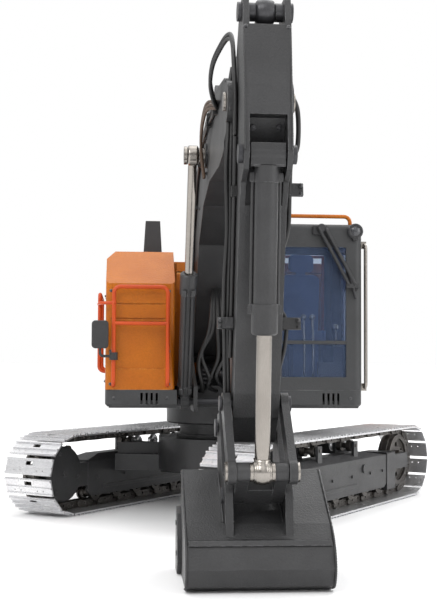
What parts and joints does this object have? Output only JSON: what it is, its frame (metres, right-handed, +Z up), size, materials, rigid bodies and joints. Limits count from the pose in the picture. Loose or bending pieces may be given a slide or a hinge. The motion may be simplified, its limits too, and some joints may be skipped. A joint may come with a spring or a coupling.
{
  "type": "tracked excavator model",
  "caption": "Radio controlled tracked excavator with slewing house, cab, banana boom, stick and digging bucket moved by hydraulic cylinders.",
  "frame": {"origin": "centre of the whole model's footprint, on the floor", "axes": "+Z up, the house faces -Y, the cab is on the +X side (the machine's left)"},
  "size_m": [0.3982, 0.6321, 0.3311],
  "materials": {
    "dark_paint": "satin",
    "grey_paint": "satin",
    "track_steel": "bright",
    "chain_steel": "satin",
    "bright_steel": "polished",
    "pin_steel": "satin",
    "orange_paint": "gloss",
    "rail_paint": "gloss",
    "glass": "clear",
    "seat_blue": "matte",
    "black_plastic": "matte",
    "hose_rubber": "satin"
  },
  "bodies": {
    "undercarriage": {"chassis_frame": "dark_paint", "slew_ring": "dark_paint", "left_track_frame": "dark_paint", "right_track_frame": "dark_paint", "left_track_shoes": "track_steel", "right_track_shoes": "track_steel", "chain_links": "chain_steel", "chain_pins": "chain_steel", "lower_rollers": "chain_steel", "carrier_rollers": "chain_steel", "drive_housings": "dark_paint", "idler_yokes": "dark_paint"},
    "left_sprocket_body": {"left_sprocket": "chain_steel"},
    "right_sprocket_body": {"right_sprocket": "chain_steel"},
    "left_idler_body": {"left_idler": "chain_steel"},
    "right_idler_body": {"right_idler": "chain_steel"},
    "house": {"slew_drum": "dark_paint", "slew_platform": "dark_paint", "platform_pins": "pin_steel", "lower_skirt": "grey_paint", "tool_box": "orange_paint", "engine_cover": "orange_paint", "counterweight": "grey_paint", "cab_frame": "grey_paint", "cab_windows": "glass", "seat": "seat_blue", "side_consoles": "black_plastic", "control_levers": "bright_steel", "work_lamp": "black_plastic", "wiper": "black_plastic", "cab_handrail": "bright_steel", "roof_rail": "orange_paint", "tool_box_rail": "rail_paint", "mirror": "black_plastic", "exhaust_stack": "black_plastic", "battery_pack": "black_plastic", "control_unit": "black_plastic", "pump_unit": "black_plastic"},
    "door": {"cab_door": "grey_paint", "door_window": "glass"},
    "boom_body": {"boom": "dark_paint", "boom_pins": "bright_steel", "boom_pipes": "hose_rubber", "nose_hoses": "hose_rubber"},
    "boom_barrel_body": {"boom_barrels": "dark_paint"},
    "boom_rod_body": {"boom_rods": "bright_steel"},
    "stick_barrel_body": {"stick_barrel": "dark_paint"},
    "stick_rod_body": {"stick_rod": "bright_steel"},
    "stick_body": {"stick": "dark_paint", "stick_pins": "pin_steel", "stick_pipes": "hose_rubber"},
    "bucket_barrel_body": {"bucket_barrel": "dark_paint"},
    "bucket_rod_body": {"bucket_rod": "bright_steel"},
    "rocker_body": {"rocker_arms": "dark_paint", "rocker_pin": "bright_steel"},
    "link_body": {"bucket_link": "dark_paint"},
    "bucket_body": {"bucket": "dark_paint", "bucket_pins": "pin_steel", "bucket_teeth": "grey_paint", "side_cutters": "dark_paint"}
  },
  "joints": [
    {"name": "slewing", "type": "hinge", "parent": "undercarriage", "child": "house", "pos_m": [-0.0133, 0.0844, 0.074], "axis": [0, 0, 1], "continuous": true},
    {"name": "left_sprocket_spin", "type": "hinge", "parent": "undercarriage", "child": "left_sprocket_body", "pos_m": [-0.00908, -0.06911, 0.03381], "axis": [0.8121, -0.5835, 0], "continuous": true, "deforming": ["chain_links", "chain_pins"]},
    {"name": "right_sprocket_spin", "type": "hinge", "parent": "undercarriage", "child": "right_sprocket_body", "pos_m": [-0.16013, 0.03943, 0.03381], "axis": [0.8121, -0.5835, 0], "continuous": true, "deforming": ["chain_links", "chain_pins"]},
    {"name": "left_idler_spin", "type": "hinge", "parent": "undercarriage", "child": "left_idler_body", "pos_m": [0.16014, 0.1664, 0.03381], "axis": [0.8121, -0.5835, 0], "continuous": true},
    {"name": "right_idler_spin", "type": "hinge", "parent": "undercarriage", "child": "right_idler_body", "pos_m": [0.00909, 0.27494, 0.03381], "axis": [0.8121, -0.5835, 0], "continuous": true},
    {"name": "cab_door_hinge", "type": "hinge", "parent": "house", "child": "door", "pos_m": [0.0924, 0.0644, 0.169], "axis": [0, 0, 1], "range_deg": [0, 120]},
    {"name": "boom_lift", "type": "hinge", "parent": "house", "child": "boom_body", "pos_m": [-0.0243, 0.0624, 0.138], "axis": [-1, 0, 0], "range_deg": [-36, 7]},
    {"name": "boom_barrel_swing", "type": "hinge", "parent": "house", "child": "boom_barrel_body", "pos_m": [-0.0243, -0.0056, 0.096], "axis": [-1, 0, 0], "range_deg": [-38.94, 7.58]},
    {"name": "boom_rod_slide", "type": "slide", "parent": "boom_barrel_body", "child": "boom_rod_body", "axis": [0, -0.4531, 0.8915], "range_m": [-0.04804, 0.00942]},
    {"name": "stick_swing", "type": "hinge", "parent": "boom_body", "child": "stick_body", "pos_m": [-0.0243, -0.2676, 0.28], "axis": [-1, 0, 0], "range_deg": [-8, 45], "deforming": ["nose_hoses"]},
    {"name": "stick_barrel_swing", "type": "hinge", "parent": "boom_body", "child": "stick_barrel_body", "pos_m": [-0.0243, -0.1086, 0.319], "axis": [-1, 0, 0], "range_deg": [-0.71, 3.96]},
    {"name": "stick_rod_slide", "type": "slide", "parent": "stick_barrel_body", "child": "stick_rod_body", "axis": [0, -0.9996, 0.0294], "range_m": [-0.03855, 0.00694]},
    {"name": "bucket_curl", "type": "hinge", "parent": "stick_body", "child": "bucket_body", "pos_m": [-0.0243, -0.2296, 0.0884], "axis": [-1, 0, 0], "range_deg": [-42, 12]},
    {"name": "rocker_swing", "type": "hinge", "parent": "stick_body", "child": "rocker_body", "pos_m": [-0.0243, -0.2536, 0.104], "axis": [-1, 0, 0], "range_deg": [-42.01, 12.01]},
    {"name": "link_swing", "type": "hinge", "parent": "rocker_body", "child": "link_body", "pos_m": [-0.0243, -0.2896, 0.0676], "axis": [-1, 0, 0], "range_deg": [-12.01, 42.01]},
    {"name": "bucket_barrel_swing", "type": "hinge", "parent": "stick_body", "child": "bucket_barrel_body", "pos_m": [-0.0243, -0.3076, 0.242], "axis": [-1, 0, 0], "range_deg": [-8.99, 2.58]},
    {"name": "bucket_rod_slide", "type": "slide", "parent": "bucket_barrel_body", "child": "bucket_rod_body", "axis": [0, 0.1027, -0.9947], "range_m": [-0.00669, 0.02317]}
  ],
  "couplings": [
    {"joint": "left_idler_spin", "follows": "left_sprocket_spin", "ratio": 1},
    {"joint": "right_idler_spin", "follows": "right_sprocket_spin", "ratio": 1},
    {"joint": "boom_barrel_swing", "follows": "boom_lift", "ratio": 1.0791},
    {"joint": "boom_rod_slide", "follows": "boom_lift", "m_per_rad": 0.076306},
    {"joint": "stick_barrel_swing", "follows": "stick_swing", "ratio": 0.0875},
    {"joint": "stick_rod_slide", "follows": "stick_swing", "m_per_rad": -0.048962},
    {"joint": "rocker_swing", "follows": "bucket_curl", "ratio": 1},
    {"joint": "link_swing", "follows": "bucket_curl", "ratio": -1},
    {"joint": "bucket_barrel_swing", "follows": "bucket_curl", "ratio": 0.2135},
    {"joint": "bucket_rod_slide", "follows": "bucket_curl", "m_per_rad": -0.031474}
  ]
}
